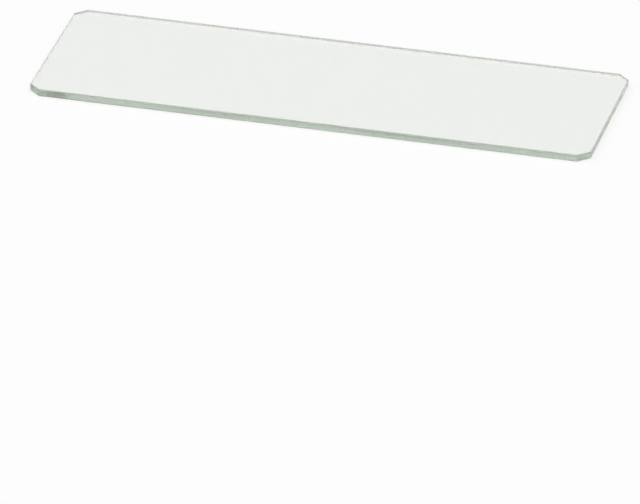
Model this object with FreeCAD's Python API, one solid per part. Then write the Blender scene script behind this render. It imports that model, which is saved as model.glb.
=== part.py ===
import FreeCAD, Part

import os

# A microscope slide: one flat plate of clear soda-lime glass, cut from drawn
# sheet. Its four corners are clipped straight at 45 degrees, and every edge of
# its two faces is broken by a narrow ground bevel, the arris.
#
# Sizes are in millimetres. The plate lies on its underside with its long side
# along X and its short side along Y. The origin is the middle of the underside.

LENGTH = 76.0
WIDTH = 26.0
THICKNESS = 1.0
CORNER_CLIP = 1.5  # what each clip takes off the long side, and off the short side
ARRIS = 0.07  # what the bevel takes off the face, and off the edge

FLAT = 1e-6  # how far two ends of an edge may differ in height and it is still level


def outline():
    """The plate's outline: a rectangle with its corners clipped, anticlockwise."""
    end, side = LENGTH / 2, WIDTH / 2
    end_clip, side_clip = end - CORNER_CLIP, side - CORNER_CLIP
    points = [
        (end, -side_clip),
        (end, side_clip),
        (end_clip, side),
        (-end_clip, side),
        (-end, side_clip),
        (-end, -side_clip),
        (-end_clip, -side),
        (end_clip, -side),
    ]
    corners = [FreeCAD.Vector(x, y, 0) for x, y in points]
    return Part.Face(Part.makePolygon(corners + corners[:1]))


def is_level(edge):
    """True for an edge that runs round a face, and False for an upright one."""
    low, high = edge.BoundBox.ZMin, edge.BoundBox.ZMax
    return high - low < FLAT


def glass_slide():
    """The plate, with the arris ground along both of its faces."""
    plate = outline().extrude(FreeCAD.Vector(0, 0, THICKNESS))
    face_edges = [edge for edge in plate.Edges if is_level(edge)]
    return plate.makeChamfer(ARRIS, face_edges)


NODES = {"glass_slide": glass_slide}

os.makedirs("parts", exist_ok=True)
for name, make in NODES.items():
    solid = make()
    solid.exportStep(f"parts/{name}.step")
    box = solid.BoundBox
    print(f"{name}: valid {solid.isValid()}, {len(solid.Solids)} solid, {len(solid.Faces)} faces")
    print(f"  size {box.XLength:.3f} x {box.YLength:.3f} x {box.ZLength:.3f} mm")
    print(f"  volume {solid.Volume:.3f} cubic mm, area {solid.Area:.3f} square mm")
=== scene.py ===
from math import cos, pi, radians, sin, tau

import bpy
import numpy as np
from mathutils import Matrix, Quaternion, Vector


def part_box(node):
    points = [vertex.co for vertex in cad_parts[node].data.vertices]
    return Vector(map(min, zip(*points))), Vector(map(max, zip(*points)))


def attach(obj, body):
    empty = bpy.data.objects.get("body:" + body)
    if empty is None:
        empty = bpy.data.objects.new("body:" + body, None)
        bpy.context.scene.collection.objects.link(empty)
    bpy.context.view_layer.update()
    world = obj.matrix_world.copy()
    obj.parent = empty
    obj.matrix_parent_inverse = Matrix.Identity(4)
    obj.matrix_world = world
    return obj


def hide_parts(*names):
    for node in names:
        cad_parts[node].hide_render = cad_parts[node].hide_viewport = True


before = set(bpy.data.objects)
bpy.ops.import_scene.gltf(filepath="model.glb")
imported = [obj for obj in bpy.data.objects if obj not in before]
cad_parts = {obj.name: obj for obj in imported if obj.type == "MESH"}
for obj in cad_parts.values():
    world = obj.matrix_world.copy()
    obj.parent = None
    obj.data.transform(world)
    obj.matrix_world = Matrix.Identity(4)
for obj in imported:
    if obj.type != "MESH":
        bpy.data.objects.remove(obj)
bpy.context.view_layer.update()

# A plain microscope slide, lying on its underside: one plate of clear soda-lime glass. Its four
# corners are clipped straight, its edges are ground, and the arris, a narrow ground bevel, runs
# round both faces. The plate's length, width and thickness come from the frame. Lengths are in
# metres, and angles in degrees. Only the camera's lens and sensor are in millimetres.

MILLIMETRE = 0.001
WHITE = (1.0, 1.0, 1.0)

# The plate
CORNER_CLIP = 1.5 * MILLIMETRE  # what each clip takes off the long side, and off the short side
CORNER_RADIUS = 0.18 * MILLIMETRE  # how far the grinding rounds the upright corners
ARRIS = 0.07 * MILLIMETRE  # what the arris takes off the face, and off the edge
ARRIS_FULLNESS = 1.5  # 1 is a straight bevel, and 2 a quarter round
ARRIS_WANDER = 0.08  # the most that the arris's width strays, as a share of it
WANDER_WAVES = 14  # how many waves add up to that
WANDER_PERIODS = (5, 70)  # each goes up and down at least 5 times round the plate, and under 70
UPPER_WANDER_SEED = 11
LOWER_WANDER_SEED = 12
SIDE_COLUMNS = 96  # along each side and each clip
CORNER_COLUMNS = 6  # round each of their eight corners
ARRIS_ROWS = 8
WALL_ROWS = 5  # between the two arrises

# The glass
GLASS_IOR = 1.52
TAKEN_PER_METRE = (13.5, 11.0, 14.3)  # what the body of the glass takes of red, green and blue
ABSORPTION_DENSITY = 100.0  # any number over those three
FACE_TINT = (0.99, 1.0, 0.98)
GROUND_PAINTED_GREEN_SHADE = (0.89, 0.94, 0.89)  # painted green shade on the ground edge, for the green that light picks up on its long way through the glass
ARRIS_TINT = WHITE

# The ground edge: a grain with pits in it, and the marks of the wheel's passes along it
GRAINS_PER_METRE = 20000.0
GRAIN_DEPTH = 0.0006 * MILLIMETRE
PASSES_PER_METRE = (350.0, 14000.0, 1.0)  # along the edge, and across it
PASS_DEPTH = 0.0004 * MILLIMETRE
PATCHES_PER_METRE = 260.0  # patches where the pits lie thicker or thinner
PATCH_REACH = 0.025  # how far they move the grain's value
PIT_LEVELS = (0.42, 0.62)  # the grain's values at which a pit starts, and is whole
FINE_ROUGHNESS = 0.12  # at the long edge at -Y
COARSE_ROUGHNESS = 0.5  # at the long edge at +Y, which had a coarser wheel
PIT_ROUGHNESS = 0.25  # what a pit adds
ARRIS_ROUGHNESS = 0.95  # the arris is the coarsest
GLANCING = (0.6, 0.82)  # where ground glass starts to shine, and does so fully: 1 - cos(angle)
GLANCING_POLISH = 0.9  # the share of the roughness that it then loses

# The faces: drawn sheet, with faint waves across its length, and wiped almost clean
WAVES_PER_METRE = (25.0, 250.0, 1.0)  # along the plate, and across it
WAVE_DEPTH = 0.015 * MILLIMETRE
WIPES_PER_METRE = (40.0, 160.0, 1.0)
WIPE_LEVELS = (0.5, 0.75)  # the noise's values at which a wipe's trace starts, and is whole
WIPE_ROUGHNESS = 0.03

# The studio
FLOOR_GAP = 0.03 * MILLIMETRE  # keeps the floor and the underside from lying in one plane
FLOOR_REACH = 3.0
FLOOR_SHADE = 0.45
FLOOR_GLOW = 0.67  # the paper is lit from below too
FLOOR_ROUGHNESS = 0.8
FLOOR_SHEEN = 0.2
SKY_LOW = 0.42  # the tent's brightness near the floor,
SKY_HIGH = 1.15  # higher up,
SKY_CROWN = 0.2  # and overhead, where the tent is open
SKY_BLEND = (30.0, 60.0)  # the heights between which low turns into high,
CROWN_BLEND = (66.0, 80.0)  # and high turns into overhead
FLAG_HEADING = 22.0  # where a dark flag stands behind the plate, to the right of +Y
FLAG_HEIGHT = 18.0
FLAG_REACH = (18.0, 34.0)  # from its middle to the end of its full shade, and to its edge
FLAG_SHADE = 0.02

BOUNCES = 64  # enough for light to cross the plate from end to end
PAPER_BOUNCES = 8

# The camera: the direction it looks from, how far off it stands, and the point it looks at
CAMERA_HEADING = 13.09  # round from -Y towards +X
CAMERA_HEIGHT = 26.074  # above the floor
CAMERA_ROLL = 1.248
CAMERA_DISTANCE = 1.5494
CAMERA_AIM = (0.01039, -0.0483, 0.0)
CAMERA_LENS = 676.75
CAMERA_SENSOR = 36.0
CAMERA_CLIP = (0.1, 50.0)


def outline(length, width):
    """The plate's clipped outline, anticlockwise, as a core point and a direction per column.

    The core is the outline moved inwards by the corner radius, so that the outline itself is
    core + radius * direction. Along a side, the core point goes evenly from one corner of the
    core to the next, and the direction is square to the side. Round a corner, the core point
    stays, and the direction turns evenly by an eighth of a turn. The core's corner is the
    outline's, less radius * (this side's direction + the next one's) / (1 + cos(turn / 8)).
    """
    end, side = length / 2, width / 2
    end_clip, side_clip = end - CORNER_CLIP, side - CORNER_CLIP
    corners = np.array([
        (end, side_clip),
        (end_clip, side),
        (-end_clip, side),
        (-end, side_clip),
        (-end, -side_clip),
        (-end_clip, -side),
        (end_clip, -side),
        (end, -side_clip),
    ])
    step = tau / len(corners)
    facing = step * np.arange(len(corners))[:, None]
    square = np.concatenate([np.cos(facing), np.sin(facing)], axis=1)
    mitre = (square + np.roll(square, -1, axis=0)) / (1 + cos(step))
    core = (corners - CORNER_RADIUS * mitre)[:, None]
    before = np.roll(core, 1, axis=0)

    along_side = np.linspace(0, 1, SIDE_COLUMNS, endpoint=False)
    along_corner = np.linspace(0, 1, CORNER_COLUMNS, endpoint=False)
    points = np.concatenate([
        before + (core - before) * along_side[:, None],
        core + 0 * along_corner[:, None],
    ], axis=1)
    angles = np.concatenate([
        facing + 0 * along_side,
        facing + step * along_corner,
    ], axis=1).ravel()
    return points.reshape(-1, 2), np.stack([np.cos(angles), np.sin(angles)], axis=1)


def distances(core, direction):
    """How far each column lies along the outline from the first one, and the whole way round.

    It is the running sum of the steps from each column to the next.
    """
    rim = core + CORNER_RADIUS * direction
    steps = np.linalg.norm(np.roll(rim, -1, axis=0) - rim, axis=1)
    return np.concatenate([[0], np.cumsum(steps)])


def wander(turns, seed):
    """A smooth closed wave between -1 and 1: a sum of sines with whole numbers of periods."""
    draw = np.random.default_rng(seed)
    periods = draw.integers(*WANDER_PERIODS, size=WANDER_WAVES)[:, None]
    phases = draw.uniform(0, tau, size=WANDER_WAVES)[:, None]
    wave = np.sin(tau * periods * turns + phases).sum(axis=0)
    return wave / np.abs(wave).max()


def arris_section():
    """A unit arris from the face to the edge: what is left to go inwards, and down.

    The curve is a superellipse. At an angle t from 0 to a quarter turn it lies
    1 - sin(t) ** (2 / fullness) in from the edge, and 1 - cos(t) ** (2 / fullness) below the face.
    """
    t = np.linspace(0, pi / 2, ARRIS_ROWS)
    power = 2 / ARRIS_FULLNESS
    return 1 - np.sin(t) ** power, 1 - np.clip(np.cos(t), 0, 1) ** power


def edge_sections(turns, thickness):
    """How far in from the outline, and how far below the upper face, each column's rows lie.

    Down its rows, a column follows the upper arris, the upright wall and the lower arris. Each
    arris's size is the nominal one times (1 + a small wave along the outline).
    """
    inwards, down = arris_section()
    upper = ARRIS * (1 + ARRIS_WANDER * wander(turns, UPPER_WANDER_SEED))[:, None]
    lower = ARRIS * (1 + ARRIS_WANDER * wander(turns, LOWER_WANDER_SEED))[:, None]
    between = np.linspace(0, 1, WALL_ROWS + 2)[1:-1]
    wall = upper + (thickness - upper - lower) * between
    inset = np.concatenate([upper * inwards, 0 * wall, lower * inwards[::-1]], axis=1)
    depth = np.concatenate([upper * down, wall, thickness - lower * down[::-1]], axis=1)
    return inset, depth


def slide_mesh(low, high):
    """The whole plate as one closed surface of columns round it and rows down its edge.

    A point lies at core + (radius - inset) * direction, and at the upper face's height less the
    depth. The quads between the rows are the edge, and a many-sided face closes each end of them.
    """
    size = high - low
    core, direction = outline(size.x, size.y)
    along = distances(core, direction)
    inset, depth = edge_sections(along[:-1] / along[-1], size.z)
    columns, rows = depth.shape

    points = np.empty((columns, rows, 3))
    points[..., :2] = core[:, None] + (CORNER_RADIUS - inset)[..., None] * direction[:, None]
    points[..., :2] += np.array((low + high)[:2]) / 2
    points[..., 2] = high.z - depth
    points = points.reshape(-1, 3)

    column = np.arange(columns)[:, None]
    row = np.arange(rows - 1)
    following = (column + 1) % columns
    quads = np.stack([
        column * rows + row,
        column * rows + row + 1,
        following * rows + row + 1,
        following * rows + row,
    ], axis=-1).reshape(-1, 4)
    top = column.ravel() * rows
    underside = top[::-1] + rows - 1

    mesh = bpy.data.meshes.new("glass_plate")
    mesh.from_pydata(points.tolist(), [], [*quads.tolist(), top.tolist(), underside.tolist()])
    mesh.polygons.foreach_set("use_smooth", [True] * len(quads) + [False, False])
    mark_finishes(mesh, direction, rows - 1)
    face_corners = points[np.concatenate([top, underside]), :2]
    lay_out(mesh, np.concatenate([unrolled_edge(along, inset, depth), face_corners]))
    return mesh


def mark_finishes(mesh, direction, bands):
    """Gives each face of the mesh three amounts from 0 to 1, which the glass reads.

    Round the edge, in so many bands a column, "ground" is 1, and "arris" is 1 on the bevels and
    0 on the wall. "coarse" is ((1 + the outward direction's Y) / 2) squared. On the slide's two
    faces all three are 0.
    """
    band = np.arange(bands)
    bevel = (band < ARRIS_ROWS - 1) | (band > bands - ARRIS_ROWS)
    finishes = {
        "ground": np.ones(len(direction) * bands),
        "arris": np.tile(bevel, len(direction)),
        "coarse": np.repeat(((1 + direction[:, 1]) / 2) ** 2, bands),
    }
    for name, amount in finishes.items():
        values = np.concatenate([amount, [0, 0]]).astype(np.float32)
        mesh.attributes.new(name, "FLOAT", "FACE").data.foreach_set("value", values)


def unrolled_edge(along, inset, depth):
    """The corners of the edge's quads, unrolled: metres along the outline, and down the section.

    The way down is the sum of hypot(change of inset, change of depth) over the first column.
    """
    fall = np.concatenate([[0], np.cumsum(np.hypot(np.diff(inset[0]), np.diff(depth[0])))])
    column = np.arange(len(inset))[:, None]
    row = np.arange(len(fall) - 1)[:, None]
    u = along[column + [0, 0, 1, 1]][:, None] + 0 * row
    v = fall[row + [0, 1, 1, 0]][None] + 0 * u
    return np.stack([u, v], axis=-1).reshape(-1, 2)


def lay_out(mesh, corners):
    """The UV map, in metres: the edge unrolled, and each face of the slide as it lies."""
    layer = mesh.uv_layers.new(name="unrolled")
    layer.uv.foreach_set("vector", corners.ravel())


class Wire:
    """What a node gives. Sums written with wires that carry numbers add Math nodes."""

    def __init__(self, nodes, socket):
        self.nodes = nodes
        self.socket = socket

    def maths(self, operation, *operands):
        inputs = dict(enumerate(operands))
        return self.nodes.add("Math", {"operation": operation}, inputs)["Value"]

    def __add__(self, other):
        return self.maths("ADD", self, other)

    def __sub__(self, other):
        return self.maths("SUBTRACT", self, other)

    def __mul__(self, other):
        return self.maths("MULTIPLY", self, other)

    def __radd__(self, other):
        return self.maths("ADD", other, self)

    def __rsub__(self, other):
        return self.maths("SUBTRACT", other, self)

    def __rmul__(self, other):
        return self.maths("MULTIPLY", other, self)


class Nodes:
    """The nodes of a material or a world, added one at a time."""

    def __init__(self, owner):
        owner.use_nodes = True
        self.tree = owner.node_tree
        self.tree.nodes.clear()

    def add(self, kind, settings=None, inputs=None):
        """Adds a node, with its settings first and then what its sockets hold or are fed by."""
        node = self.tree.nodes.new("ShaderNode" + kind)
        for name, value in (settings or {}).items():
            setattr(node, name, value)
        for name, value in (inputs or {}).items():
            if isinstance(value, Wire):
                self.tree.links.new(value.socket, node.inputs[name])
            else:
                node.inputs[name].default_value = value
        given = [socket for socket in reversed(node.outputs) if socket.enabled]
        return {socket.name: Wire(self, socket) for socket in given}

    def amount(self, name):
        """One of the amounts that the mesh carries."""
        return self.add("Attribute", {"attribute_name": name})["Fac"]

    def noise(self, place, scales, detail):
        """Smooth noise from 0 to 1, about 0.5, at so many waves a metre along each axis."""
        stretched = self.add("Mapping", {}, {"Vector": place, "Scale": scales})["Vector"]
        inputs = {"Vector": stretched, "Scale": 1.0, "Detail": detail}
        return self.add("TexNoise", {}, inputs)["Fac"]

    def ramp(self, value, low, high):
        """0 up to low, 1 from high on, and a smooth rise between."""
        inputs = {"Value": value, "From Min": low, "From Max": high}
        return self.add("MapRange", {"interpolation_type": "SMOOTHSTEP"}, inputs)["Result"]

    def mixed(self, share, first, second):
        """A colour that goes from the first to the second with the share."""
        return self.add("Mix", {"data_type": "RGBA"}, {0: share, 6: first, 7: second})["Result"]


def opaque(colour):
    """The colour with nothing seen through it."""
    return (*colour, 1.0)


def glass():
    """Clear soda-lime glass: bright faces, edges ground to a fine grain, and a matt arris."""
    material = bpy.data.materials.new("clear_glass_ground_edges")
    nodes = Nodes(material)
    place = nodes.add("TexCoord")["Object"]
    unrolled = nodes.add("UVMap", {"uv_map": "unrolled"})["UV"]
    ground = nodes.amount("ground")
    arris = nodes.amount("arris")
    coarse = nodes.amount("coarse")

    grain = nodes.noise(place, [GRAINS_PER_METRE] * 3, detail=1.0)
    passes = nodes.noise(unrolled, PASSES_PER_METRE, detail=3.0)
    patches = nodes.noise(place, [PATCHES_PER_METRE] * 3, detail=3.0)
    pits = nodes.ramp(grain + (patches - 0.5) * PATCH_REACH, *PIT_LEVELS)
    low_angle = nodes.add("LayerWeight")["Facing"]
    polish = nodes.ramp(low_angle, *GLANCING) * GLANCING_POLISH
    wheel = FINE_ROUGHNESS + coarse * (COARSE_ROUGHNESS - FINE_ROUGHNESS)
    wall_roughness = (wheel + pits * PIT_ROUGHNESS) * (1 - polish)
    ground_roughness = wall_roughness + arris * (ARRIS_ROUGHNESS - wall_roughness)

    waves = nodes.noise(place, WAVES_PER_METRE, detail=1.0)
    wiped = nodes.noise(place, WIPES_PER_METRE, detail=4.0)
    face_roughness = nodes.ramp(wiped, *WIPE_LEVELS) * WIPE_ROUGHNESS

    # The ground edge's colour is painted green shade, for the green that light picks up on its long
    # way through the glass.
    colour = nodes.mixed(ground, opaque(FACE_TINT), opaque(GROUND_PAINTED_GREEN_SHADE))
    colour = nodes.mixed(arris, colour, opaque(ARRIS_TINT))
    roughness = face_roughness + ground * (ground_roughness - face_roughness)
    face_relief = waves * WAVE_DEPTH
    ground_relief = grain * GRAIN_DEPTH + passes * PASS_DEPTH
    relief = face_relief + ground * (ground_relief - face_relief)
    normal = nodes.add("Bump", {}, {"Distance": 1.0, "Height": relief})["Normal"]
    shader = nodes.add("BsdfPrincipled", {}, {
        "Base Color": colour,
        "Roughness": roughness,
        "IOR": GLASS_IOR,
        "Transmission Weight": 1.0,
        "Normal": normal,
    })["BSDF"]
    kept = [1 - taken / ABSORPTION_DENSITY for taken in TAKEN_PER_METRE]
    body = nodes.add("VolumeAbsorption", {}, {"Color": opaque(kept), "Density": ABSORPTION_DENSITY})
    nodes.add("OutputMaterial", {}, {"Surface": shader, "Volume": body["Volume"]})
    return material


def floor_paper():
    """Plain white studio paper."""
    material = bpy.data.materials.new("white_paper")
    nodes = Nodes(material)
    shader = nodes.add("BsdfPrincipled", {}, {
        "Base Color": opaque([FLOOR_SHADE] * 3),
        "Roughness": FLOOR_ROUGHNESS,
        "Specular IOR Level": FLOOR_SHEEN,
        "Emission Color": opaque(WHITE),
        "Emission Strength": FLOOR_GLOW,
    })["BSDF"]
    nodes.add("OutputMaterial", {}, {"Surface": shader})
    return material


def heading(degrees_right, degrees_up):
    """The direction so far right of +Y, and so far above the floor."""
    right, up = radians(degrees_right), radians(degrees_up)
    return Vector((sin(right) * cos(up), cos(right) * cos(up), sin(up)))


def light_tent():
    """The world: a white tent, open overhead, with a soft dark flag behind the plate."""
    world = bpy.data.worlds.new("light_tent")
    bpy.context.scene.world = world
    nodes = Nodes(world)
    ray = nodes.add("TexCoord")["Generated"]
    up = nodes.add("SeparateXYZ", {}, {"Vector": ray})["Z"]
    lifted = nodes.ramp(up, *(sin(radians(height)) for height in SKY_BLEND))
    crown = nodes.ramp(up, *(sin(radians(height)) for height in CROWN_BLEND))
    side = SKY_LOW + lifted * (SKY_HIGH - SKY_LOW)
    tent = side + crown * (SKY_CROWN - side)

    flag = heading(FLAG_HEADING, FLAG_HEIGHT)
    towards = nodes.add("VectorMath", {"operation": "DOT_PRODUCT"}, {0: ray, 1: flag})["Value"]
    full, none = (cos(radians(reach)) for reach in FLAG_REACH)
    shaded = nodes.ramp(towards, none, full)
    strength = tent + shaded * (FLAG_SHADE - tent)
    background = nodes.add("Background", {}, {"Color": opaque(WHITE), "Strength": strength})
    nodes.add("OutputWorld", {}, {"Surface": background["Background"]})


def floor(low):
    """A flat sheet of paper that runs far past the plate on all sides."""
    level = low.z - FLOOR_GAP
    ways = [(-1, -1), (1, -1), (1, 1), (-1, 1)]
    corners = [(FLOOR_REACH * x, FLOOR_REACH * y, level) for x, y in ways]
    mesh = bpy.data.meshes.new("floor")
    mesh.from_pydata(corners, [], [(0, 1, 2, 3)])
    mesh.materials.append(floor_paper())
    sheet = bpy.data.objects.new("floor", mesh)
    bpy.context.scene.collection.objects.link(sheet)


def camera():
    """A long lens, low over the plate and a little to the right of it."""
    back = heading(180 - CAMERA_HEADING, CAMERA_HEIGHT)
    lens = bpy.data.cameras.new("camera")
    lens.lens = CAMERA_LENS
    lens.sensor_width = CAMERA_SENSOR
    lens.clip_start, lens.clip_end = CAMERA_CLIP
    view = bpy.data.objects.new("camera", lens)
    view.location = Vector(CAMERA_AIM) + back * CAMERA_DISTANCE
    level = (-back).to_track_quat("-Z", "Y")
    view.rotation_mode = "QUATERNION"
    view.rotation_quaternion = Quaternion(back, radians(CAMERA_ROLL)) @ level
    bpy.context.scene.collection.objects.link(view)
    bpy.context.scene.camera = view


def glass_plate(low, high):
    """The slide itself, in place of its plain solid."""
    mesh = slide_mesh(low, high)
    mesh.materials.append(glass())
    plate = bpy.data.objects.new("glass_plate", mesh)
    bpy.context.scene.collection.objects.link(plate)
    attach(plate, "root")
    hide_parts("glass_slide")


def light_paths():
    """Shows plain colours, lets light cross the plate, and keeps clear glass sharp."""
    scene = bpy.context.scene
    scene.view_settings.view_transform = "Standard"
    scene.cycles.blur_glossy = 0.0
    scene.cycles.max_bounces = BOUNCES
    scene.cycles.diffuse_bounces = PAPER_BOUNCES
    scene.cycles.glossy_bounces = BOUNCES
    scene.cycles.transmission_bounces = BOUNCES


plate_low, plate_high = (Vector(corner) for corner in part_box("glass_slide"))
camera()
light_paths()
light_tent()
floor(plate_low)
glass_plate(plate_low, plate_high)
